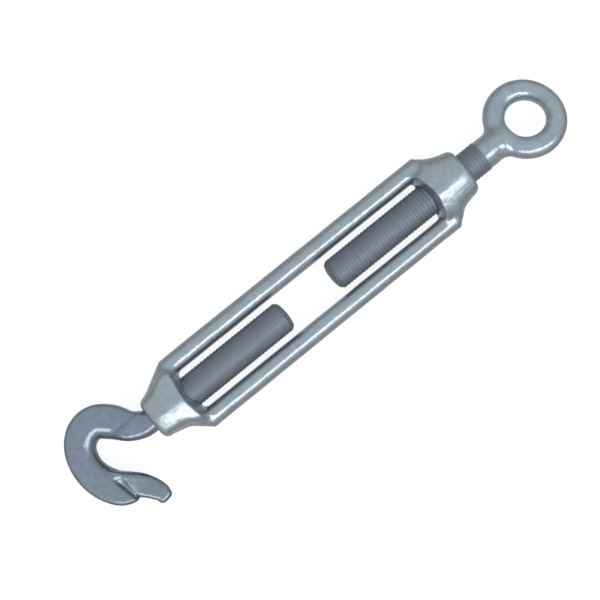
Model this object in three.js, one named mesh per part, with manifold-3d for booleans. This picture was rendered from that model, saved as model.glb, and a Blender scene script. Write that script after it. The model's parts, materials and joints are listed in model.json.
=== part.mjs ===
// Hook-and-eye rigging turnbuckle with an open two-bar frame, for a 16 mm thread.
// Millimetres, +Z up. The thread axis runs along X, with the hook at -X and the eye at +X,
// and the two bars of the frame lie to its +Y and -Y sides. Everything is drawn about the thread
// axis and the middle of the frame, then moved so that the part stands on Z = 0, centred on the origin.
import * as THREE from "three";
import { mergeVertices } from "three/addons/utils/BufferGeometryUtils.js";
import Module from "manifold-3d";

const wasm = await Module();
wasm.setup();

// Threads
const THREAD_RADIUS = 8.5; // outside radius of both shanks, zinc included
const BORE_RADIUS = 8.85; // the collars' holes, clear of the shanks
const HOOK_SHANK_END = -15; // free end of the hook bolt's shank
const EYE_SHANK_END = 13.5; // free end of the eye bolt's shank
const SHANK_DOME = 2; // how far a free end is domed
const SHANK_CHAMFER = 1.4;

// Frame
const FRAME_HALF_LENGTH = 101;
const WINDOW_HALF_LENGTH = 78.2;
const WINDOW_HALF_WIDTH = 11.5;
const WINDOW_CORNER = 3;
const BAR_OUTER_Y = 21.35;
const BAR_THICKNESS = 10.6;
const BAR_ROUNDING = 3.5;
const FRAME_FLAT = 13.2; // half the height over the collars' forged flats, which the part rests on

// Each collar is a tapering boss, and a shoulder on each side of it runs out to the bar.
// boss: [distance from the middle, centre Y, half width, half height], from the outside in.
// shoulder: [distance from the middle, distance from the axis] where the bar ends, where the shoulder
// meets the boss, and where the boss ends.
const COLLARS = [
  {
    side: -1,
    boss: [
      [101, 0.6, 10, 9.9],
      [99.6, 0.6, 11.2, 11.2],
      [96.5, 0.7, 11.7, 12],
      [89, 1, 12.8, 13.2],
      [81, 0.4, 13.8, 14],
      [78.9, 0.2, 13.4, 13.6],
      [78.2, 0, 11.8, 11.9],
    ],
    shoulders: {
      1: [[80.3, BAR_OUTER_Y], [88.5, 17], [98, 9.8]],
      "-1": [[77.8, BAR_OUTER_Y], [87.4, 13.2], [97, 9.2]],
    },
  },
  {
    side: 1,
    boss: [
      [101, 0, 11, 10.8],
      [99.6, 0, 12.6, 12.4],
      [96.5, 0, 13.2, 13],
      [88, 0.4, 14.6, 14],
      [81, 0.4, 15, 14.4],
      [78.9, 0.2, 14.4, 13.8],
      [78.2, 0, 12.2, 12.2],
    ],
    shoulders: {
      1: [[83.9, BAR_OUTER_Y], [88.8, 16.9], [98, 10.6]],
      "-1": [[82.1, BAR_OUTER_Y], [89.6, 14.9], [98, 10.6]],
    },
  },
];
const BOSS_SQUARENESS = 3.2; // exponent of the boss's rounded-square section

// The thin ring in the hook-end collar that stands for the crests of the collar's thread
const CREST_RING = { inner: 8.85, outer: 9.55, from: -94, to: -84, gap: 0.3 };

// Hook bolt: [X, Y, half width, half thickness] along the middle of the neck and the bowl
const HOOK_LINE = [
  [-95, 0, 5.6, 5.6],
  [-100.5, 0.5, 6, 5.9],
  [-105.6, 1.8, 6.4, 6],
  [-111.1, 6.3, 8.1, 6.3],
  [-117.4, 13.2, 9.5, 6.5],
  [-124.2, 17.8, 9.3, 6.5],
  [-131.2, 17.2, 8.7, 6.5],
  [-136.9, 12.3, 8.5, 6.5],
  [-140, 5, 8.1, 6.5],
  [-140.2, -2.6, 8, 6.5],
  [-138.1, -9.6, 8.4, 6.5],
  [-134.4, -16, 8.8, 6.4],
  [-131, -20, 8.2, 5.4],
];
const TONGUE_LINE = [
  [-134.5, -11.5, 4.5, 4],
  [-130.2, -16, 5.4, 5],
  [-125.6, -20.8, 5.8, 5],
  [-121.5, -25.8, 5.5, 4.6],
  [-118.7, -30.8, 4.7, 4.1],
  [-117.9, -34.8, 3.2, 2.9],
];
const NECK_SQUARENESS = 2;
const BOWL_SQUARENESS = 3.6;
const TONGUE_SQUARENESS = 2.6;
const HOOK_NECK_RADIUS = 5.9;
const HOOK_THREAD_START = -97;
const HOOK_NECK_END = -99.5;
const THREAD_RUNOUT = 3;

// Eye bolt
const EYE_CENTRE = [143.1, 0.9];
const EYE_RING_RADIUS = 16.55; // to the middle of the ring's section
const EYE_SECTION = [5.8, 4.9]; // half width across the ring, half thickness along its hole
const EYE_OVAL = 0.97; // length of the ring along the shank over its width across it
const EYE_ROLL = -17; // degrees about the thread axis
const EYE_NECK_RADIUS = 8.1;
const EYE_THREAD_END = 112.8;
const EYE_NECK_TAPER = [122.5, 131, 4.4]; // the neck thins from the first X to the second, to this radius

const SECTION_SIDES = 20;
const ROUND_SIDES = 32;
const LINE_STEPS = 28;

const galvanised = { roughness: 0.42, metalness: 0.85 };
const frameMaterial = new THREE.MeshStandardMaterial({ color: 0x9aa6ae, ...galvanised });
const hookMaterial = new THREE.MeshStandardMaterial({ color: 0x8f9ba5, ...galvanised });
const eyeMaterial = new THREE.MeshStandardMaterial({ color: 0x8b979f, ...galvanised });
const crestMaterial = new THREE.MeshStandardMaterial({ color: 0x6d7780, ...galvanised });

// A closed geometry as a solid that can be joined and cut, and back.
function solidOf(geometry) {
  const bare = geometry.clone();
  bare.deleteAttribute("normal");
  bare.deleteAttribute("uv");
  const merged = mergeVertices(bare, 1e-4);
  return new wasm.Manifold(
    new wasm.Mesh({
      numProp: 3,
      vertProperties: new Float32Array(merged.attributes.position.array),
      triVerts: new Uint32Array(merged.index.array),
    }),
  );
}

function meshOf(name, solid, material) {
  const found = solid.getMesh();
  const geometry = new THREE.BufferGeometry();
  geometry.setAttribute("position", new THREE.BufferAttribute(found.vertProperties, 3));
  geometry.setIndex(new THREE.BufferAttribute(found.triVerts, 1));
  geometry.computeVertexNormals();
  const mesh = new THREE.Mesh(geometry, material);
  mesh.name = name;
  return mesh;
}

const joined = (solids) => solids.reduce((whole, next) => whole.add(next));

// A point on a rounded rectangle: exponent 2 is an ellipse, and a larger one is squarer.
function superellipse(angle, exponent) {
  const bend = (c) => Math.sign(c) * Math.abs(c) ** (2 / exponent);
  return [bend(Math.cos(angle)), bend(Math.sin(angle))];
}

// A closed solid through rings with equal numbers of points, each ring counter-clockwise about the way ahead.
function loft(rings) {
  const sides = rings[0].length;
  const points = rings.flat();
  const faces = [];
  for (let ring = 0; ring + 1 < rings.length; ring++) {
    for (let i = 0; i < sides; i++) {
      const a = ring * sides + i;
      const b = ring * sides + ((i + 1) % sides);
      faces.push(a, b, b + sides, a, b + sides, a + sides);
    }
  }
  const middleOf = (ring) => ring.reduce((sum, p) => sum.add(p), new THREE.Vector3()).divideScalar(sides);
  const last = (rings.length - 1) * sides;
  points.push(middleOf(rings[0]), middleOf(rings.at(-1)));
  for (let i = 0; i < sides; i++) {
    const next = (i + 1) % sides;
    faces.push(points.length - 2, next, i, points.length - 1, last + i, last + next);
  }
  return new THREE.BufferGeometry().setFromPoints(points).setIndex(faces);
}

// A solid of revolution about the X axis, from [X, radius] points that start and end on the axis.
function turnedAboutX(profile, sides = ROUND_SIDES) {
  const lathe = new THREE.LatheGeometry(profile.map(([x, r]) => new THREE.Vector2(r, x)), sides);
  return lathe.rotateZ(-Math.PI / 2);
}

// A bar whose middle line lies in the XY plane. Each station is [X, Y, half width, half thickness],
// and squareness gives the section's exponent at a share of the way along.
function sweptBar(stations, squareness) {
  const line = new THREE.CatmullRomCurve3(stations.map(([x, y]) => new THREE.Vector3(x, y, 0)));
  const sizes = new THREE.CatmullRomCurve3(stations.map(([, , w, t]) => new THREE.Vector3(w, t, 0)));
  const rings = [];
  for (let step = 0; step <= LINE_STEPS; step++) {
    const share = step / LINE_STEPS;
    const centre = line.getPoint(share);
    const ahead = line.getTangent(share);
    const left = new THREE.Vector3(-ahead.y, ahead.x, 0);
    const size = sizes.getPoint(share);
    const ring = [];
    for (let i = 0; i < SECTION_SIDES; i++) {
      const [across, up] = superellipse((2 * Math.PI * i) / SECTION_SIDES, squareness(share));
      const point = centre.clone().addScaledVector(left, across * size.x);
      point.z += up * size.y;
      ring.push(point);
    }
    rings.push(ring);
  }
  return loft(rings);
}

// The flat outline of the frame: both bars with their shoulders, and the window between them.
function frameOutline() {
  const [hookEnd, eyeEnd] = COLLARS;
  const corner = (collar, y) =>
    collar.shoulders[y].map(([x, from]) => new THREE.Vector2(x * collar.side, from * y));
  const outline = new THREE.Shape([
    ...corner(eyeEnd, 1).reverse(),
    ...corner(hookEnd, 1),
    ...corner(hookEnd, -1).reverse(),
    ...corner(eyeEnd, -1),
  ]);
  const x = WINDOW_HALF_LENGTH - WINDOW_CORNER;
  const y = WINDOW_HALF_WIDTH - WINDOW_CORNER;
  const window = new THREE.Path();
  window.absarc(x, y, WINDOW_CORNER, 0, Math.PI / 2);
  window.absarc(-x, y, WINDOW_CORNER, Math.PI / 2, Math.PI);
  window.absarc(-x, -y, WINDOW_CORNER, Math.PI, 1.5 * Math.PI);
  window.absarc(x, -y, WINDOW_CORNER, 1.5 * Math.PI, 2 * Math.PI);
  outline.holes.push(window);
  return outline;
}

function bars() {
  const plate = new THREE.ExtrudeGeometry(frameOutline(), {
    depth: BAR_THICKNESS - 2 * BAR_ROUNDING,
    bevelThickness: BAR_ROUNDING,
    bevelSize: BAR_ROUNDING,
    bevelOffset: -BAR_ROUNDING,
    bevelSegments: 4,
    curveSegments: 4,
  });
  return plate.translate(0, 0, BAR_ROUNDING - BAR_THICKNESS / 2);
}

// One collar's boss, drawn along +X so that its rings turn the right way, for either end.
function boss({ side, boss: stations }) {
  const rings = stations.map(([distance, y, halfWidth, halfHeight]) => {
    const ring = [];
    for (let i = 0; i < ROUND_SIDES; i++) {
      const [across, up] = superellipse((2 * Math.PI * i) / ROUND_SIDES, BOSS_SQUARENESS);
      ring.push(new THREE.Vector3(distance * side, y + across * halfWidth, up * halfHeight));
    }
    return ring;
  });
  return loft(side > 0 ? rings.reverse() : rings);
}

function cylinderAlongX(radius, from, to) {
  return turnedAboutX([[from, 0], [from, radius], [to, radius], [to, 0]]);
}

function frameBody() {
  const { outer, from, to, gap } = CREST_RING;
  const slab = new THREE.BoxGeometry(3 * FRAME_HALF_LENGTH, 4 * BAR_OUTER_Y, 2 * FRAME_FLAT);
  const forging = joined([bars(), ...COLLARS.map(boss)].map(solidOf)).intersect(solidOf(slab));
  const bores = joined([
    solidOf(cylinderAlongX(BORE_RADIUS, -1.1 * FRAME_HALF_LENGTH, 1.1 * FRAME_HALF_LENGTH)),
    solidOf(cylinderAlongX(outer + gap, from - gap, to + gap)),
  ]);
  return meshOf("frame_body", forging.subtract(bores), frameMaterial);
}

function crestRing() {
  const { inner, outer, from, to } = CREST_RING;
  const wall = [[from, inner], [from, outer], [to, outer], [to, inner], [from, inner]];
  return meshOf("hook_end_thread", solidOf(turnedAboutX(wall)), crestMaterial);
}

// A threaded shank as a plain cylinder of the thread's outside size, from its free end to X = start,
// with the [X, radius] points of its plain neck from there on.
function shank(freeEnd, start, neck) {
  const way = Math.sign(start - freeEnd);
  const profile = [
    [freeEnd, 0],
    [freeEnd + way * 0.35 * SHANK_DOME, 0.55 * THREAD_RADIUS],
    [freeEnd + way * SHANK_DOME, THREAD_RADIUS - SHANK_CHAMFER],
    [freeEnd + way * (SHANK_DOME + SHANK_CHAMFER), THREAD_RADIUS],
    [start - way * THREAD_RUNOUT, THREAD_RADIUS],
    [start, neck[0][1]],
    ...neck,
    [neck.at(-1)[0], 0],
  ];
  return turnedAboutX(way > 0 ? profile : profile.reverse());
}

function hookBolt() {
  // The neck is round, and the bowl's sides turn flat over the first third of the way.
  const bowlShape = (share) =>
    THREE.MathUtils.lerp(NECK_SQUARENESS, BOWL_SQUARENESS, THREE.MathUtils.smoothstep(share, 0.1, 0.32));
  const solids = [
    sweptBar(HOOK_LINE, bowlShape),
    sweptBar(TONGUE_LINE, () => TONGUE_SQUARENESS),
    shank(HOOK_SHANK_END, HOOK_THREAD_START, [[HOOK_NECK_END, 0.9 * HOOK_NECK_RADIUS]]),
  ].map(solidOf);
  return meshOf("hook_bolt", joined(solids), hookMaterial);
}

function eyeBolt() {
  const [halfWidth, halfThickness] = EYE_SECTION;
  const ring = new THREE.TorusGeometry(EYE_RING_RADIUS, halfWidth, SECTION_SIDES, 2 * SECTION_SIDES);
  ring.scale(EYE_OVAL, 1, halfThickness / halfWidth);
  ring.rotateX(THREE.MathUtils.degToRad(EYE_ROLL));
  ring.translate(...EYE_CENTRE, 0);
  const [taperStart, taperEnd, endRadius] = EYE_NECK_TAPER;
  const neck = [[taperStart, EYE_NECK_RADIUS], [taperEnd, endRadius]];
  const stem = shank(EYE_SHANK_END, EYE_THREAD_END, neck);
  return meshOf("eye_bolt", joined([ring, stem].map(solidOf)), eyeMaterial);
}

const turnbuckle = new THREE.Group();
turnbuckle.name = "turnbuckle";
turnbuckle.add(frameBody(), crestRing(), hookBolt(), eyeBolt());

// The part stands on Z = 0, with its bounding box centred over the origin.
const box = new THREE.Box3().setFromObject(turnbuckle, true);
const middle = box.getCenter(new THREE.Vector3());
turnbuckle.position.set(-middle.x, -middle.y, -box.min.z);

export default turnbuckle;
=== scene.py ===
"""Hook-and-eye rigging turnbuckle: forged surfaces, rolled threads and hot-dip galvanised metal.

Shapes are worked out in millimetres about the thread axis: X from the hook to the eye, with 0 at the
middle of the frame, Y towards the hook's back and Z up. row_point() and mesh_object() turn them into the
metres of the shared frame.
"""
import json
import math

import bpy
import numpy as np
from mathutils import Matrix, Vector


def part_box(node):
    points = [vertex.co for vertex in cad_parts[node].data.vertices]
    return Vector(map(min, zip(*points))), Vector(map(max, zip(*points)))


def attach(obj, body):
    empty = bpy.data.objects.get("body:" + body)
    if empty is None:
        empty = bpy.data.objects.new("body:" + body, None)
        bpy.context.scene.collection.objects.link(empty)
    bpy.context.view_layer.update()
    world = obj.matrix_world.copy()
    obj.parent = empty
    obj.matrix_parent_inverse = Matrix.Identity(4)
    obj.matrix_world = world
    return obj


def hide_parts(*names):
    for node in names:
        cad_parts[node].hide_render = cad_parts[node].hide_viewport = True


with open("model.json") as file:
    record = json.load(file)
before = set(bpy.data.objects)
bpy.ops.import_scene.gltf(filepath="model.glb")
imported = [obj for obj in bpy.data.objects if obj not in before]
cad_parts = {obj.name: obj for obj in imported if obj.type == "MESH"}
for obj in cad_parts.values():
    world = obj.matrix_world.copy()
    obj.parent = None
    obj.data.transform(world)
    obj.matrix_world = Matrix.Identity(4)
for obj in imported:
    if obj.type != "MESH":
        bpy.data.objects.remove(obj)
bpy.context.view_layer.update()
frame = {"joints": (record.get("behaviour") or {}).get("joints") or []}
MM = 0.001

# ---------------------------------------------------------------- sizes, in millimetres
frame_low, frame_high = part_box("frame_body")
hook_low, hook_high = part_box("hook_bolt")
eye_low, eye_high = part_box("eye_bolt")
TURN = next(joint for joint in frame["joints"] if joint["name"] == "frame_turn")
ORIGIN = Vector(((frame_low.x + frame_high.x) / 2, TURN["pos_m"][1], TURN["pos_m"][2]))
FRAME_HALF = (frame_high.x - frame_low.x) / 2 / MM
BAR_OUTER = (frame_high.y - ORIGIN.y) / MM
FLAT_HEIGHT = (frame_high.z - ORIGIN.z) / MM
HOOK_FREE_END = (hook_high.x - ORIGIN.x) / MM
EYE_FREE_END = (eye_low.x - ORIGIN.x) / MM

WINDOW_HALF = 78.2
BAR_INNER = 11.5
BAR_HALF_HEIGHT = 5.3

THREAD_RADIUS = 8.46
THREAD_DEPTH = 0.23
PITCH = 2.0
BORE_CLEARANCE = 0.26
RIGHT_HAND, LEFT_HAND = 1, -1

# How finely round things and surfaces are divided.
ROUND_SIDES = 96
STEPS_PER_PITCH = 12
FRAME_STEP = 0.5
BOLT_STEP = 0.4
# Edges that turn more than this many degrees stay crisp.
CRISP_ANGLE = 38


def row_point(x, y, z):
    return Vector((x, y, z)) * MM + ORIGIN


# ---------------------------------------------------------------- fields: below 0 inside the metal
def soft_min(a, b, reach):
    share = np.clip(0.5 + 0.5 * (b - a) / reach, 0, 1)
    return b + (a - b) * share - reach * share * (1 - share)


def soft_max(a, b, reach):
    return -soft_min(-a, -b, reach)


def smoothstep(value, start, end):
    share = np.clip((value - start) / (end - start), 0, 1)
    return share * share * (3 - 2 * share)


def plate(outline, height, half, edge):
    """A plate of half thickness half, from the distance to its outline, with its edges rounded by edge."""
    across = outline + edge
    up = np.abs(height) - half + edge
    return np.minimum(np.maximum(across, up), 0) + np.hypot(np.maximum(across, 0), np.maximum(up, 0)) - edge


def band(left, past, half):
    """Signed distance to a band of half width half about a centre line, from its locate() values."""
    over = np.abs(left) - half
    return np.where(past == 0, over, np.hypot(np.maximum(over, 0), past))


def polygon_distance(x, y, corners):
    """Signed distance to a closed flat outline."""
    nearest = np.full(np.broadcast(x, y).shape, 1e9)
    inside = np.zeros(nearest.shape, bool)
    for (ax, ay), (bx, by) in zip(corners, corners[1:] + corners[:1]):
        dx, dy = bx - ax, by - ay
        share = np.clip(((x - ax) * dx + (y - ay) * dy) / (dx * dx + dy * dy), 0, 1)
        nearest = np.minimum(nearest, np.hypot(x - ax - share * dx, y - ay - share * dy))
        if dy:
            inside ^= ((ay > y) != (by > y)) & (x < ax + (y - ay) * dx / dy)
    return np.where(inside, -nearest, nearest)


def wander(x, y, z, size, seed):
    """A smooth random swell of about -1 to 1, with features of the given size."""
    total = 0
    for turn in range(5):
        angle = 2.4 * turn + seed
        lean = 0.9 * math.sin(1.7 * turn + 2 * seed)
        way = (math.cos(angle), math.sin(angle), lean)
        scale = size * (0.7 + 0.17 * turn)
        total = total + np.sin((x * way[0] + y * way[1] + z * way[2]) / scale + 3.1 * turn + seed)
    return total / 3


class Line:
    """A flat centre line through stations [X, Y, size...], smoothed, for sweeping a section along."""

    SAMPLES = 160
    FINE_SAMPLES = 1200
    POINTS_AT_ONCE = 40000

    def __init__(self, stations):
        knots = np.array(stations, float)
        marks = np.arange(len(knots))
        fine = np.linspace(0, len(knots) - 1, self.FINE_SAMPLES)
        dense = np.stack([self._spline(marks, knots[:, i], fine) for i in range(knots.shape[1])], 1)
        steps = np.hypot(*np.diff(dense[:, :2], axis=0).T)
        run = np.concatenate([[0], np.cumsum(steps)])
        self.length = run[-1]
        self.at = np.linspace(0, self.length, self.SAMPLES)
        self.values = np.stack([np.interp(self.at, run, column) for column in dense.T], 1)
        way = np.gradient(self.values[:, :2], self.at, axis=0)
        self.way = way / np.linalg.norm(way, axis=1, keepdims=True)

    @staticmethod
    def _spline(marks, values, fine):
        """Catmull-Rom through the values."""
        padded = np.concatenate([[2 * values[0] - values[1]], values, [2 * values[-1] - values[-2]]])
        cell = np.minimum(fine.astype(int), len(marks) - 2)
        t = fine - cell
        a, b, c, d = (padded[cell + shift] for shift in range(4))
        square = 2 * a - 5 * b + 4 * c - d
        cube = 3 * b - a - 3 * c + d
        return 0.5 * (2 * b + (c - a) * t + square * t**2 + cube * t**3)

    def locate(self, x, y):
        """For each point: how far along, how far to the left, how far past an end, and the sizes there."""
        shape = np.broadcast(x, y).shape
        px = np.broadcast_to(x, shape).ravel()
        py = np.broadcast_to(y, shape).ravel()
        best = np.empty(px.size, int)
        for part in range(0, px.size, self.POINTS_AT_ONCE):
            cut = slice(part, part + self.POINTS_AT_ONCE)
            away = (px[cut, None] - self.values[:, 0]) ** 2 + (py[cut, None] - self.values[:, 1]) ** 2
            best[cut] = away.argmin(1)
        dx, dy = px - self.values[best, 0], py - self.values[best, 1]
        along = self.at[best] + dx * self.way[best, 0] + dy * self.way[best, 1]
        held = np.clip(along, 0, self.length)
        found = [np.interp(held, self.at, column) for column in self.values.T]
        wx, wy = (np.interp(held, self.at, column) for column in self.way.T)
        left = -(px - found[0]) * wy + (py - found[1]) * wx
        past = along - held
        return [value.reshape(shape) for value in (held, left, past, *found[2:])]


# ---------------------------------------------------------------- meshes from fields
def net(values, low, step):
    """The zero surface of a grid of values, as points and quads (naive surface nets)."""
    inside = values < 0
    shape = np.array(values.shape) - 1
    count = np.zeros(shape, np.int8)
    for i, j, k in np.ndindex(2, 2, 2):
        count += inside[i : i + shape[0], j : j + shape[1], k : k + shape[2]]
    active = (count > 0) & (count < 8)
    cells = np.argwhere(active)
    number = np.full(active.shape, -1)
    number[active] = np.arange(len(cells))
    total = np.zeros((len(cells), 3))
    hits = np.zeros(len(cells))
    for axis in range(3):
        ahead = np.eye(3, dtype=int)[axis]
        for i, j in ((0, 0), (0, 1), (1, 0), (1, 1)):
            offset = np.insert([i, j], axis, 0)
            a = values[tuple((cells + offset).T)]
            b = values[tuple((cells + offset + ahead).T)]
            crossed = (a < 0) != (b < 0)
            share = a / np.where(crossed, a - b, 1)
            total[crossed] += (offset + share[:, None] * ahead)[crossed]
            hits += crossed
    points = (cells + total / hits[:, None]) * step + low
    quads = []
    for axis in range(3):
        one, two = [other for other in range(3) if other != axis]
        start = np.take(inside, range(inside.shape[axis] - 1), axis)
        end = np.take(inside, range(1, inside.shape[axis]), axis)
        for first_inside in (True, False):
            edges = np.argwhere((start != end) & (start == first_inside))
            edges = edges[(edges[:, one] > 0) & (edges[:, two] > 0)]
            edges = edges[(edges[:, one] < shape[one]) & (edges[:, two] < shape[two])]
            back_one, back_two = np.eye(3, dtype=int)[one], np.eye(3, dtype=int)[two]
            ring = [edges - back_one - back_two, edges - back_two, edges, edges - back_one]
            quad = np.stack([number[tuple(cell.T)] for cell in ring], 1)
            quads.append(quad if first_inside == (axis != 1) else quad[:, ::-1])
    return points, np.concatenate(quads)


def forged(field, low, high, step):
    """Points and quads of a field's surface between two corners, with each point settled onto it."""
    sides = [np.arange(a, b + step, step) for a, b in zip(low, high)]
    grid = field(sides[0][:, None, None], sides[1][None, :, None], sides[2][None, None, :])
    points, quads = net(grid, np.array(low, float), step)
    small = 0.02
    flattest, farthest = 0.2, 0.4 * step
    for _ in range(2):
        x, y, z = points.T
        value = field(x, y, z)
        slope = np.stack([
            field(x + small, y, z) - field(x - small, y, z),
            field(x, y + small, z) - field(x, y - small, z),
            field(x, y, z + small) - field(x, y, z - small),
        ], 1) / (2 * small)
        move = -slope * (value / np.maximum((slope**2).sum(1), flattest))[:, None]
        points = points + np.clip(move, -farthest, farthest)
    return points, quads


def mesh_object(name, points, faces):
    """A mesh object in the shared frame's metres, from points in millimetres about the thread axis."""
    data = bpy.data.meshes.new(name)
    places = np.asarray(points) * MM + np.array(ORIGIN)
    data.from_pydata(places.tolist(), [], [list(map(int, face)) for face in faces])
    data.validate()
    data.update()
    made = bpy.data.objects.new(name, data)
    bpy.context.scene.collection.objects.link(made)
    return made


def combine(body, tool, operation):
    """Joins tool to body, or cuts it out, and removes it."""
    change = body.modifiers.new("combine", "BOOLEAN")
    change.operation = operation
    change.solver = "MANIFOLD"
    change.object = tool
    graph = bpy.context.evaluated_depsgraph_get()
    result = bpy.data.meshes.new_from_object(body.evaluated_get(graph))
    body.modifiers.clear()
    body.data = result
    bpy.data.objects.remove(tool)
    return body


def smooth_shaded(made):
    """Smooth shading, with edges sharper than CRISP_ANGLE left crisp."""
    data = made.data
    data.shade_smooth()
    normals = np.empty(len(data.polygons) * 3)
    data.polygons.foreach_get("normal", normals)
    normals = normals.reshape(-1, 3)
    owner = np.repeat(np.arange(len(data.polygons)), [p.loop_total for p in data.polygons])
    edge = np.empty(len(data.loops), int)
    data.loops.foreach_get("edge_index", edge)
    order = np.argsort(edge, kind="stable")
    edge, owner = edge[order], owner[order]
    pair = np.flatnonzero(edge[1:] == edge[:-1])
    close = (normals[owner[pair]] * normals[owner[pair + 1]]).sum(1)
    sharp = np.zeros(len(data.edges), bool)
    sharp[edge[pair[close < math.cos(math.radians(CRISP_ANGLE))]]] = True
    mark = data.attributes.get("sharp_edge") or data.attributes.new("sharp_edge", "BOOLEAN", "EDGE")
    mark.data.foreach_set("value", sharp)
    return made


# ---------------------------------------------------------------- threads
# A shank's free end: how far it is domed, and how far and how steeply it is chamfered.
SHANK_DOME, SHANK_CHAMFER, CHAMFER_SLOPE = 1.7, 1.1, 0.9
# The thread runs out between these two distances from the root.
THREAD_START, THREAD_RUNOUT = 0.8, 3.4
# Over this length at the root the rod narrows by this much, inside the neck that it joins.
ROOT_LENGTH, ROOT_NARROWING = 0.7, 2.4
HOOK_ROOT, EYE_ROOT = -97.5, 114.0
# How far a bore's mouth is opened round the thread, and how far its cutter passes the collar's faces.
COUNTERSINK = 1.3
CUTTER_PAST = 1.0


def thread_dip(x, angle, hand):
    """How deep the groove is there, from 0 at the crest to 1 at the root. Crests and roots are rounded."""
    crest, root = 0.92, 0.08
    turn = (x / PITCH - hand * angle / (2 * math.pi)) % 1
    return 1 - smoothstep(np.abs(2 * turn - 1), root, crest)


def tube_mesh(stations, radius_at):
    """A closed solid round the X axis, from rising X stations and a radius for each X and angle."""
    angles = np.arange(ROUND_SIDES) * 2 * math.pi / ROUND_SIDES
    x = np.array(stations, float)[:, None]
    radius = radius_at(x, angles[None, :])
    rings = np.stack([
        np.broadcast_to(x, radius.shape),
        radius * np.cos(angles),
        radius * np.sin(angles),
    ], 2)
    points = rings.reshape(-1, 3)
    count = len(stations)
    faces = []
    for ring in range(count - 1):
        base = ring * ROUND_SIDES
        for side in range(ROUND_SIDES):
            after = (side + 1) % ROUND_SIDES
            faces.append([base + side, base + after, base + ROUND_SIDES + after, base + ROUND_SIDES + side])
    last = (count - 1) * ROUND_SIDES
    centres = np.array([[stations[0], 0, 0], [stations[-1], 0, 0]])
    for side in range(ROUND_SIDES):
        after = (side + 1) % ROUND_SIDES
        faces.append([len(points), after, side])
        faces.append([len(points) + 1, last + side, last + after])
    return np.concatenate([points, centres]), faces


def threaded_rod(name, free_end, root, hand):
    """A shank from its domed free end to its root."""
    way = 1 if root > free_end else -1
    dome_turns = np.linspace(0.02, 0.98, 14) * math.pi / 2
    cap = [free_end + way * SHANK_DOME * (1 - math.cos(turn)) for turn in dome_turns]
    count = int(abs(root - free_end - way * SHANK_DOME) * STEPS_PER_PITCH / PITCH)
    stations = cap + list(np.linspace(free_end + way * SHANK_DOME, root, count))
    flat_radius = THREAD_RADIUS - SHANK_CHAMFER

    def radius_at(x, angle):
        into = (x - free_end) * way
        left = (root - x) * way
        before = 1 - np.minimum(into, SHANK_DOME) / SHANK_DOME
        domed = flat_radius * np.sqrt(np.clip(1 - before**2, 1e-4, 1))
        chamfered = flat_radius + (into - SHANK_DOME) * CHAMFER_SLOPE
        envelope = soft_min(np.where(into < SHANK_DOME, domed, chamfered), THREAD_RADIUS, 0.5)
        depth = THREAD_DEPTH * smoothstep(left, THREAD_START, THREAD_RUNOUT)
        cut = THREAD_RADIUS - depth * thread_dip(x, angle, hand)
        return np.minimum(envelope, cut) - ROOT_NARROWING * smoothstep(-left, -ROOT_LENGTH, 0)

    return mesh_object(name, *tube_mesh(stations[::way], radius_at))


def bore_cutter(name, start, end, hand):
    """What a tap removes from a collar, with countersunk mouths."""
    count = int((end - start) * STEPS_PER_PITCH / PITCH)
    stations = np.linspace(start - CUTTER_PAST, end + CUTTER_PAST, count)
    widest = THREAD_RADIUS + COUNTERSINK

    def radius_at(x, angle):
        tapped = THREAD_RADIUS + BORE_CLEARANCE - THREAD_DEPTH * thread_dip(x, angle, hand)
        mouth = widest - np.minimum(x - start, end - x)
        return np.maximum(tapped, mouth)

    return mesh_object(name, *tube_mesh(stations, radius_at))


# ---------------------------------------------------------------- frame
# Stations of each collar: [distance from the middle, reach towards +Y, reach towards -Y, half height].
HOOK_COLLAR = [
    [101.2, 10.7, 9.5, 10.4],
    [99.0, 11.8, 10.7, 11.3],
    [96.0, 12.5, 11.0, 12.1],
    [93.5, 13.3, 11.4, 12.6],
    [88.8, 15.6, 12.2, 13.3],
    [86.0, 16.9, 13.4, 13.7],
    [83.0, 18.0, 15.6, 14.0],
    [80.4, 17.3, 16.4, 14.0],
    [79.0, 15.8, 15.4, 14.0],
    [77.0, 15.0, 15.0, 14.0],
]
EYE_COLLAR = [
    [101.2, 12.3, 12.1, 12.1],
    [99.0, 13.2, 12.9, 12.9],
    [96.0, 13.7, 13.2, 13.3],
    [92.0, 14.8, 13.7, 13.6],
    [88.9, 16.0, 14.4, 13.9],
    [86.0, 17.2, 16.2, 14.1],
    [83.0, 16.0, 15.8, 14.3],
    [81.0, 15.2, 15.2, 14.4],
    [77.0, 14.8, 14.8, 14.4],
]
# How square each collar's section is at its window end and at its outer end.
HOOK_SQUARENESS, EYE_SQUARENESS = (2.5, 3.0), (2.2, 2.4)
# How far each collar's inner face slopes back for each millimetre up.
HOOK_INNER_SLOPE, EYE_INNER_SLOPE = 0.6, 0.4
# How far the collars, and the bores in them, reach into the window.
COLLAR_INTO_WINDOW, BORE_INTO_WINDOW = 1.0, 1.2
# How softly a collar's outer face and inner face run into its sides.
OUTER_SOFTNESS, INNER_SOFTNESS = 1.5, 0.9
# Long facets slope down from the middle of each collar, over and under it. They leave a narrow flat on top
# and, set UNDER_RAISE further out, a wider one underneath to rest on.
FACET_RISE, FACET_DROP = 1.022, 0.35
UNDER_RAISE = 0.2
# Each collar's facets: their tilt in degrees, and how softly they run into the section.
HOOK_FACET, EYE_FACET = (13.5, 0.8), (20.5, 2.6)
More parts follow.
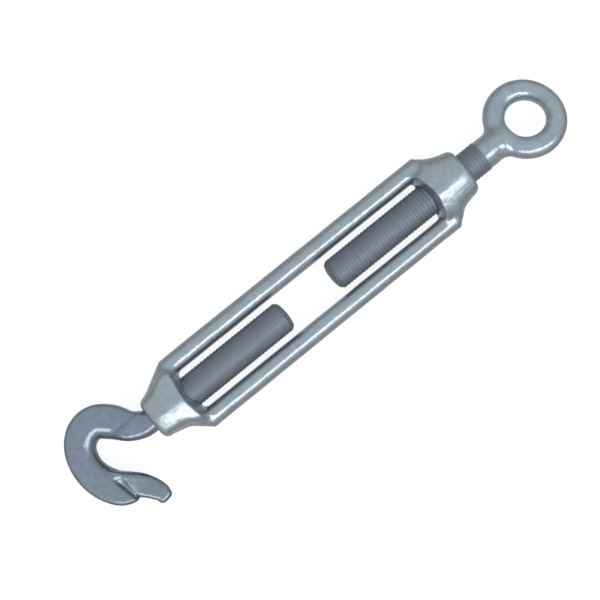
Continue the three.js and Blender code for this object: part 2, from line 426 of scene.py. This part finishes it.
# How each bar's outer edge turns in to its collar, for each end (-1 at the hook) and each side of the
# axis: points at a distance from the middle and a distance from the axis.
SHOULDERS = {
    (-1, 1): [(80.5, BAR_OUTER), (88.8, 15.9), (98, 9.8)],
    (-1, -1): [(78.6, BAR_OUTER), (87.8, 12.9), (97, 9.2)],
    (1, 1): [(83.7, BAR_OUTER), (88.9, 16.3), (98, 10.6)],
    (1, -1): [(82.2, BAR_OUTER), (89.7, 14.4), (98, 10.6)],
}
WINDOW_CORNER = 3.0
WINDOW_EDGE = 0.6
BAR_ROUNDING = 4.88
# How softly the bars run into the collars, and how softly the flats over and under are let in.
BAR_BLEND, FLAT_SOFTNESS = 3.0, 0.6
# The dies' parting line: how far it stands out, and its half width.
FLASH, FLASH_HALF_WIDTH = 0.22, 0.7


def frame_outline():
    """The corners of the frame's outline, seen from above."""

    def side(end, across):
        return [(end * x, across * y) for x, y in SHOULDERS[end, across]]

    return side(1, 1)[::-1] + side(-1, 1) + side(-1, -1)[::-1] + side(1, -1)


def collar_field(x, y, z, stations, end, slope, squareness, facet):
    """One collar without its bore. end is -1 at the hook and 1 at the eye."""
    distance, plus, minus, high = np.array(stations)[::-1].T
    away = x * end
    reach = np.where(y > 0, np.interp(away, distance, plus), np.interp(away, distance, minus))
    half_height = np.interp(away, distance, high)
    power = np.interp(away, [WINDOW_HALF, FRAME_HALF - 3], squareness)
    size = (np.abs(y / reach) ** power + np.abs(z / half_height) ** power) ** (1 / power)
    wall = (size - 1) * np.minimum(reach, half_height)
    top = np.where(z > 0, np.minimum(half_height, FLAT_HEIGHT), half_height + UNDER_RAISE)
    tilt, softness = math.radians(facet[0]), facet[1]
    plane = np.abs(z) * math.cos(tilt) + np.abs(y) * math.sin(tilt) - FACET_RISE * top + FACET_DROP
    wall = soft_max(wall, plane, softness)
    outer = away - FRAME_HALF
    back = slope * np.maximum(np.abs(z) - BAR_HALF_HEIGHT, 0)
    inner = (WINDOW_HALF - COLLAR_INTO_WINDOW + back - away) / math.hypot(1, slope)
    return soft_max(soft_max(wall, outer, OUTER_SOFTNESS), inner, INNER_SOFTNESS)


def frame_field(x, y, z):
    outline = polygon_distance(x, y, frame_outline())
    inset_x = np.abs(x) - WINDOW_HALF + WINDOW_CORNER
    inset_y = np.abs(y) - BAR_INNER + WINDOW_CORNER
    window = np.minimum(np.maximum(inset_x, inset_y), 0)
    window = window + np.hypot(np.maximum(inset_x, 0), np.maximum(inset_y, 0)) - WINDOW_CORNER
    flat = soft_max(outline, -window, WINDOW_EDGE)
    bars = plate(flat, z, BAR_HALF_HEIGHT, BAR_ROUNDING)
    bosses = np.minimum(
        collar_field(x, y, z, HOOK_COLLAR, -1, HOOK_INNER_SLOPE, HOOK_SQUARENESS, HOOK_FACET),
        collar_field(x, y, z, EYE_COLLAR, 1, EYE_INNER_SLOPE, EYE_SQUARENESS, EYE_FACET),
    )
    body = soft_min(bars, bosses, BAR_BLEND)
    flash = FLASH * np.exp(-((z / FLASH_HALF_WIDTH) ** 2)) * smoothstep(flat, -2, -0.5)
    rough = 0.07 * wander(x, y, z, 5.5, 0.4) + 0.03 * wander(x * 0.3, y, z, 2.2, 1.9)
    just_under = FLAT_HEIGHT - 0.02
    return soft_max(body - flash + rough, np.abs(z) - just_under, FLAT_SOFTNESS)


def make_frame():
    low = (-FRAME_HALF - 1, -BAR_OUTER - 1, -FLAT_HEIGHT - 1)
    high = (FRAME_HALF + 1, BAR_OUTER + 1, FLAT_HEIGHT + 1)
    body = mesh_object("frame", *forged(frame_field, low, high, FRAME_STEP))
    inner_end = WINDOW_HALF - BORE_INTO_WINDOW
    combine(body, bore_cutter("hook_bore", -FRAME_HALF, -inner_end, RIGHT_HAND), "DIFFERENCE")
    combine(body, bore_cutter("eye_bore", inner_end, FRAME_HALF, LEFT_HAND), "DIFFERENCE")
    return smooth_shaded(body)


# ---------------------------------------------------------------- hook bolt
# [X, Y, half width, half thickness] along the middle of the neck and the bowl's flat plate.
PLATE_LINE = [
    [-96.5, 0.9, 5.8, 4.7],
    [-101.0, 1.2, 6.2, 4.8],
    [-105.8, 2.2, 6.8, 5.1],
    [-111.6, 5.8, 7.4, 5.3],
    [-117.4, 13.0, 8.6, 5.5],
    [-124.0, 18.1, 8.6, 5.8],
    [-131.3, 17.4, 8.3, 6.1],
    [-137.1, 12.5, 7.7, 6.3],
    [-140.0, 5.0, 7.6, 6.4],
    [-140.1, -2.6, 7.8, 6.5],
    [-138.0, -9.4, 8.2, 6.5],
    [-134.5, -14.9, 8.4, 6.5],
    [-131.2, -17.3, 8.2, 6.5],
    [-127.5, -17.6, 8.0, 6.5],
]
# The same along the middle of the tongue.
TONGUE_LINE = [
    [-137.0, -9.0, 5.6, 5.8],
    [-134.0, -12.4, 5.9, 5.6],
    [-130.2, -16.0, 6.0, 4.9],
    [-125.6, -20.5, 6.0, 4.0],
    [-121.9, -25.5, 5.4, 3.5],
    [-120.0, -29.5, 4.8, 3.2],
    [-119.6, -32.0, 4.2, 3.0],
]
# The plate ends at the tip along the line through these two points, over the start of the tongue.
STEP_LINE = ((-134.2, -10.2), (-130.8, -25.9))
# How far the face drops there, on the bowl's inner side.
STEP_DROP = 1.9
# Where the plate stops: [how far past that line, up to which Y from the line's start, softness].
PLATE_ENDS = [(0.9, -1.0, 3.0), (4.8, 2.7, 1.6)]
# The flat face ends at the neck where X is over FACE_X and Y is under FACE_Y, and the neck's twisted
# flank climbs away from it to a ridge along the inner side. Distance in X counts as FACE_X_SHARE.
FACE_X, FACE_Y, FACE_X_SHARE = -121.0, 8.7, 0.45
FLANK_CLIMB = ([0, 1.6, 9], [0, 0.95, 1.6])
# The face dips towards the inside of the bowl before its rounded edge.
BEVEL_SLOPE, BEVEL_WIDTH = 0.25, 1.2
# The rounding of the plate's edges: [distances along the line, radii].
INNER_EDGE = ([5, 13, 18, 26], [4.4, 3.4, 3.0, 4.6])
OUTER_EDGE = ([6, 14], [4.2, 2.2])
# The tongue falls away on both sides of a ridge, which crosses it on the way to the tip.
TONGUE_SLOPES = (0.16, 0.34)
RIDGE_CROSSING, RIDGE_RUN = 1.9, (3.0, 19.0)
TONGUE_ROUNDING, TONGUE_EDGE = 3, 2.4
HOOK_GRID = ((-151, -39, -8), (-82, 29, 8))


def hook_field_for(plate_line, tongue_line):
    """The field of the hook, without its shank."""
    (ax, ay), (bx, by) = STEP_LINE
    length = math.hypot(bx - ax, by - ay)
    beyond_x, beyond_y = -(by - ay) / length, (bx - ax) / length

    def hook_field(x, y, z):
        run, left, past, half, thick = plate_line.locate(x, y)
        # The bowl's left is its inside while the line runs round from the shank.
        inner_edge = np.interp(run, *INNER_EDGE)
        outer_edge = np.interp(run, *OUTER_EDGE)
        edge = outer_edge + (inner_edge - outer_edge) * smoothstep(left, -1, 1)
        off_face = soft_min(FACE_Y - y, FACE_X_SHARE * (x - FACE_X), 1.0)
        climb = np.interp(off_face, *FLANK_CLIMB)
        step = (x - ax) * beyond_x + (y - ay) * beyond_y
        # The line also crosses the neck's side of the bowl, where it doesn't count.
        step = np.where(run > 0.6 * plate_line.length, step, -thick)
        throat = smoothstep(ay - y, -2.5, 3.5)
        bevel = BEVEL_SLOPE * np.maximum(left - half + edge + BEVEL_WIDTH, 0) * smoothstep(run, 18, 26)
        thick = thick + climb - bevel - STEP_DROP * throat * smoothstep(step, -1.0, 1.4)
        bowl = plate(band(left, past, half), z, thick, edge)
        for beyond, above, softness in PLATE_ENDS:
            bowl = soft_max(bowl, soft_min(step - beyond, ay + above - y, softness), 1.2)

        run, left, past, half, thick = tongue_line.locate(x, y)
        ridge = half * (1 - RIDGE_CROSSING * smoothstep(run, *RIDGE_RUN))
        inner_slope, outer_slope = TONGUE_SLOPES
        fall = inner_slope * np.maximum(left - ridge, 0) + outer_slope * np.maximum(ridge - left, 0)
        outline = band(left, past, half - TONGUE_ROUNDING) - TONGUE_ROUNDING
        tongue = plate(outline, z, thick - fall, TONGUE_EDGE)
        return soft_min(bowl, tongue, 1.2) + 0.05 * wander(x, y, z, 5.5, 2.2)

    return hook_field


def make_hook():
    field = hook_field_for(Line(PLATE_LINE), Line(TONGUE_LINE))
    body = mesh_object("hook", *forged(field, *HOOK_GRID, BOLT_STEP))
    rod = threaded_rod("hook_shank", HOOK_FREE_END, HOOK_ROOT, RIGHT_HAND)
    return smooth_shaded(combine(body, rod, "UNION"))


# ---------------------------------------------------------------- eye bolt
EYE_CENTRE = (143.1, 0.9)
EYE_RING_RADIUS = 16.5
EYE_ROLL = math.radians(-17)
# The ring's length along X for each millimetre across, and its section.
RING_LENGTHWISE = 0.968
RING_HALF_WIDTH, RING_HALF_HEIGHT, RING_POWER = 5.8, 4.9, 2.1
# The ring is thinner on its far side and at the neck than over the sides.
RING_THINNING, RING_LEAN = 0.35, 0.25
# The neck's radius along X, and where it starts and ends.
EYE_NECK = ([100, 118, 124, 132], [8.15, 8.15, 7.6, 5.2])
EYE_NECK_START, EYE_NECK_END = 111.6, 131
NECK_BLEND = 4.0
# Fine forging folds where the neck meets the ring: their middle, their reach and their height.
FOLD_MIDDLE, FOLD_REACH, FOLD_HEIGHT = (126, -3.4), (2.0, 1.6), 0.13
EYE_GRID = ((109, -24, -12), (168, 26, 12))


def eye_field(x, y, z):
    cx, cy = EYE_CENTRE
    cos, sin = math.cos(EYE_ROLL), math.sin(EYE_ROLL)
    across = (y - cy) * cos + z * sin
    up = z * cos - (y - cy) * sin
    radius = np.hypot((x - cx) / RING_LENGTHWISE, across)
    far = (x - cx) / np.maximum(radius, 1)
    off = radius - EYE_RING_RADIUS + RING_THINNING * far**2 - RING_LEAN * far
    half_wide = RING_HALF_WIDTH - RING_THINNING * far**2 - RING_LEAN * far
    size = np.abs(off / half_wide) ** RING_POWER + np.abs(up / RING_HALF_HEIGHT) ** RING_POWER
    ring = (size ** (1 / RING_POWER) - 1) * RING_HALF_HEIGHT
    neck = np.hypot(y, z) - np.interp(x, *EYE_NECK)
    neck = soft_max(soft_max(neck, EYE_NECK_START - x, 0.8), x - EYE_NECK_END, 1.0)
    body = soft_min(ring, neck, NECK_BLEND)
    fold_x, fold_y = (x - FOLD_MIDDLE[0]) / FOLD_REACH[0], (y - FOLD_MIDDLE[1]) / FOLD_REACH[1]
    fold = np.exp(-(fold_x**2) - fold_y**2) * (z > 0)
    body = body + FOLD_HEIGHT * fold * np.sin(3.6 * (0.9 * x - 0.4 * y))
    return body + 0.05 * wander(x, y, z, 4.0, 3.3)


def make_eye():
    body = mesh_object("eye", *forged(eye_field, *EYE_GRID, BOLT_STEP))
    rod = threaded_rod("eye_shank", EYE_FREE_END, EYE_ROOT, LEFT_HAND)
    return smooth_shaded(combine(body, rod, "UNION"))


# ---------------------------------------------------------------- materials
class Nodes:
    """Short calls for building a material's nodes."""

    def __init__(self, name):
        self.material = bpy.data.materials.new(name)
        self.material.use_nodes = True
        self.tree = self.material.node_tree
        self.shader = self.tree.nodes["Principled BSDF"]
        self.place = self.tree.nodes.new("ShaderNodeTexCoord").outputs["Object"]

    def add(self, kind):
        return self.tree.nodes.new("ShaderNode" + kind)

    def link(self, source, target):
        self.tree.links.new(source, target)

    def stretched(self, scale):
        node = self.add("Mapping")
        node.inputs["Scale"].default_value = scale
        self.link(self.place, node.inputs["Vector"])
        return node.outputs["Vector"]

    def noise(self, scale, detail, roughness=0.55, where=None):
        node = self.add("TexNoise")
        node.inputs["Scale"].default_value = scale
        node.inputs["Detail"].default_value = detail
        node.inputs["Roughness"].default_value = roughness
        self.link(where or self.place, node.inputs["Vector"])
        return node.outputs["Fac"]

    def ramp(self, value, stops):
        """Colours along a value, from two stops."""
        node = self.add("ValToRGB")
        for stop, (at, colour) in zip(node.color_ramp.elements, stops):
            stop.position = at
            stop.color = (*colour, 1)
        self.link(value, node.inputs["Fac"])
        return node.outputs["Color"]

    def range(self, value, low, high, to_low, to_high):
        node = self.add("MapRange")
        for key, number in zip(("From Min", "From Max", "To Min", "To Max"), (low, high, to_low, to_high)):
            node.inputs[key].default_value = number
        self.link(value, node.inputs["Value"])
        return node.outputs["Result"]

    def mix(self, share, one, two, blend="MIX"):
        """Two colours mixed. Each is an (R, G, B) tuple or a socket, and the share a number or a socket."""
        node = self.add("Mix")
        node.data_type = "RGBA"
        node.blend_type = blend
        if isinstance(share, float):
            node.inputs["Factor"].default_value = share
        else:
            self.link(share, node.inputs["Factor"])
        for socket, value in ((node.inputs[6], one), (node.inputs[7], two)):
            if isinstance(value, tuple):
                socket.default_value = (*value, 1)
            else:
                self.link(value, socket)
        return node.outputs[2]

    def bump(self, height, distance, strength, under=None):
        node = self.add("Bump")
        node.inputs["Distance"].default_value = distance
        node.inputs["Strength"].default_value = strength
        self.link(height, node.inputs["Height"])
        if under:
            self.link(under, node.inputs["Normal"])
        return node.outputs["Normal"]


# The tint of the faint violet patches in the zinc.
VIOLET = (1.0, 0.95, 1.06)
# How fine each pattern in the zinc is, as noise scales for metres.
BROAD, VIOLET_PATCHES, MOTTLE, PEEL, SPANGLES, GRAIN = 38, 70, 200, 300, 420, 1500
DRAWN_STREAKS = (60, 900, 900)


def galvanised(name, light, dark, warm, streaks, polish=(0.2, 0.27)):
    """Hot-dip zinc: mottled blue-grey, with a fine grain, soft orange peel and dull patches.

    streaks is how strong the drawn streaks along the thread axis are, and polish the range of roughness.
    """
    made = Nodes(name)
    mottle = made.noise(MOTTLE, 6.0, 0.68)
    spangle = made.add("TexVoronoi")
    spangle.inputs["Scale"].default_value = SPANGLES
    made.link(made.place, spangle.inputs["Vector"])
    broad = made.noise(BROAD, 3.0)
    drawn = made.noise(1.0, 4.0, where=made.stretched(DRAWN_STREAKS))

    colour = made.ramp(mottle, [(0.3, dark), (0.7, light)])
    colour = made.mix(made.range(broad, 0.42, 0.68, 0, 0.55), colour, warm)
    violet = made.mix(1.0, colour, VIOLET, "MULTIPLY")
    patches = made.range(made.noise(VIOLET_PATCHES, 2.0), 0.5, 0.66, 0, 0.8)
    colour = made.mix(patches, colour, violet)
    grain = made.range(spangle.outputs["Distance"], 0.0, 0.9, 0.0, 0.4)
    colour = made.mix(grain, colour, light)
    if streaks:
        colour = made.mix(made.range(drawn, 0.5, 0.75, 0, streaks), colour, light)
    made.link(colour, made.shader.inputs["Base Color"])

    rough = made.range(mottle, 0.25, 0.75, *polish)
    made.link(rough, made.shader.inputs["Roughness"])
    made.shader.inputs["Metallic"].default_value = 1.0

    peel = made.bump(made.noise(PEEL, 4.0), 0.0005, 0.4)
    fine = made.bump(made.noise(GRAIN, 3.0), 0.0001, 0.35, peel)
    if streaks:
        fine = made.bump(drawn, 0.0002, 0.3, fine)
    made.link(fine, made.shader.inputs["Normal"])
    return made.material


# ---------------------------------------------------------------- stage, light and camera
def aim(made, target):
    way = target - made.location
    made.rotation_mode = "QUATERNION"
    made.rotation_quaternion = way.to_track_quat("-Z", "Y")


def area_light(name, towards, elevation, distance, size, power, colour):
    """A softbox aimed at the object from a direction in degrees from +X and an elevation."""
    lamp = bpy.data.lights.new(name, "AREA")
    lamp.shape = "RECTANGLE"
    lamp.size, lamp.size_y = size
    lamp.energy = power
    lamp.color = colour
    made = bpy.data.objects.new(name, lamp)
    a, e = math.radians(towards), math.radians(elevation)
    way = Vector((math.cos(a) * math.cos(e), math.sin(a) * math.cos(e), math.sin(e)))
    made.location = ORIGIN + distance * way
    bpy.context.scene.collection.objects.link(made)
    aim(made, ORIGIN)


def make_stage():
    half = 8.0
    corners = [(-half, -half, 0), (half, -half, 0), (half, half, 0), (-half, half, 0)]
    data = bpy.data.meshes.new("floor")
    data.from_pydata(corners, [], [(0, 1, 2, 3)])
    floor = bpy.data.objects.new("floor", data)
    bpy.context.scene.collection.objects.link(floor)
    made = Nodes("floor_paper")
    tone = made.ramp(made.noise(6, 2.0), [(0.3, (0.34, 0.34, 0.34)), (0.7, (0.36, 0.36, 0.36))])
    made.link(tone, made.shader.inputs["Base Color"])
    made.shader.inputs["Roughness"].default_value = 0.9
    made.shader.inputs["Specular IOR Level"].default_value = 0.1
    made.shader.inputs["Emission Color"].default_value = (1, 1, 1, 1)
    made.shader.inputs["Emission Strength"].default_value = 0.85
    data.materials.append(made.material)
    # The metal doesn't mirror the paper, so that its flanks stay as dark as in a tented studio.
    floor.visible_glossy = False


# The studio round the metal: [share of the way from straight down to straight up, colour], the two ends
# first, as a new ramp has them.
SKY = [
    (0.0, (0.45, 0.45, 0.46)),
    (1.0, (0.58, 0.64, 0.70)),
    (0.2, (0.42, 0.42, 0.43)),
    (0.36, (0.35, 0.355, 0.36)),
    (0.55, (0.36, 0.38, 0.385)),
    (0.8, (0.54, 0.59, 0.61)),
]


def make_lights():
    world = bpy.data.worlds.new("studio")
    world.use_nodes = True
    tree = world.node_tree
    background = tree.nodes["Background"]
    split = tree.nodes.new("ShaderNodeSeparateXYZ")
    tree.links.new(tree.nodes.new("ShaderNodeTexCoord").outputs["Generated"], split.inputs["Vector"])
    height = tree.nodes.new("ShaderNodeMapRange")
    height.inputs["From Min"].default_value = -1
    tree.links.new(split.outputs["Z"], height.inputs["Value"])
    ramp = tree.nodes.new("ShaderNodeValToRGB")
    tree.links.new(height.outputs["Result"], ramp.inputs["Fac"])
    tree.links.new(ramp.outputs["Color"], background.inputs["Color"])
    for index, (share, colour) in enumerate(SKY):
        stop = ramp.color_ramp.elements[index] if index < 2 else ramp.color_ramp.elements.new(share)
        stop.position = share
        stop.color = (*colour, 1)
    background.inputs["Strength"].default_value = 1.0
    bpy.context.scene.world = world
    area_light("key", -98, 61, 1.2, (1.5, 0.42), 3.3, (0.95, 0.98, 1.0))


def make_camera():
    """Almost straight down, from a little towards the hook, with the thread axis drawn up to the right."""
    lean, sideways, turn = math.radians(4.11), math.radians(-0.285), math.radians(38.98)
    distance, target = 600, (-5.66, 1.15, 0)
    level = math.cos(sideways)
    back = Vector((-math.sin(lean) * level, -math.sin(sideways), math.cos(lean) * level))
    along = (Vector((1, 0, 0)) - back * back.x).normalized()
    above = back.cross(along)
    right = math.cos(turn) * along - math.sin(turn) * above
    up = math.sin(turn) * along + math.cos(turn) * above
    lens = bpy.data.cameras.new("camera")
    lens.sensor_width = 36
    lens.lens = 71.21
    made = bpy.data.objects.new("camera", lens)
    place = row_point(*target) + back * distance * MM
    made.matrix_world = Matrix.Translation(place) @ Matrix((right, up, back)).transposed().to_4x4()
    bpy.context.scene.collection.objects.link(made)
    bpy.context.scene.camera = made


# The threads' own material reaches this far out from their crests, and this far from the collars' faces.
THREAD_MARGIN = 1
MOUTH_DEPTH = 1
# Where it starts on each shank, next to the neck.
HOOK_THREAD_START, EYE_THREAD_START = -96.8, 112.6


def paint(piece, material, thread, low, high):
    """One material all over, and another on the threads between two X positions."""
    piece.data.materials.clear()
    piece.data.materials.append(material)
    piece.data.materials.append(thread)
    middles = np.empty(len(piece.data.polygons) * 3)
    piece.data.polygons.foreach_get("center", middles)
    x, y, z = ((middles.reshape(-1, 3) - np.array(ORIGIN)) / MM).T
    threaded = (x > low) & (x < high) & (np.hypot(y, z) < THREAD_RADIUS + THREAD_MARGIN)
    piece.data.polygons.foreach_set("material_index", threaded.astype(int))


def finish_piece(piece, body, slot, *nodes):
    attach(piece, body)
    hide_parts(*nodes)


make_camera()
make_lights()
make_stage()
bpy.context.scene.view_settings.view_transform = "Standard"

frame_zinc = galvanised(
    "frame_zinc", light=(0.59, 0.65, 0.69), dark=(0.43, 0.475, 0.52), warm=(0.48, 0.51, 0.49), streaks=0.35
)
hook_zinc = galvanised(
    "hook_zinc", light=(0.39, 0.43, 0.49), dark=(0.26, 0.30, 0.37), warm=(0.30, 0.35, 0.34), streaks=0
)
eye_zinc = galvanised(
    "eye_zinc", light=(0.60, 0.67, 0.71), dark=(0.42, 0.48, 0.53), warm=(0.49, 0.54, 0.51), streaks=0,
    polish=(0.17, 0.27),
)
thread_zinc = galvanised(
    "thread_zinc", light=(0.35, 0.38, 0.435), dark=(0.26, 0.29, 0.335), warm=(0.30, 0.33, 0.33), streaks=0,
    polish=(0.52, 0.62),
)

turning_frame, hook, eye = make_frame(), make_hook(), make_eye()
paint(turning_frame, frame_zinc, thread_zinc, -FRAME_HALF + MOUTH_DEPTH, FRAME_HALF - MOUTH_DEPTH)
paint(hook, hook_zinc, thread_zinc, HOOK_THREAD_START, HOOK_FREE_END + 1)
paint(eye, eye_zinc, thread_zinc, EYE_FREE_END - 1, EYE_THREAD_START)
finish_piece(turning_frame, "frame", "frame_zinc", "frame_body", "hook_end_thread")
finish_piece(hook, "hook_bolt", "hook_zinc", "hook_bolt")
finish_piece(eye, "eye_bolt", "eye_zinc", "eye_bolt")
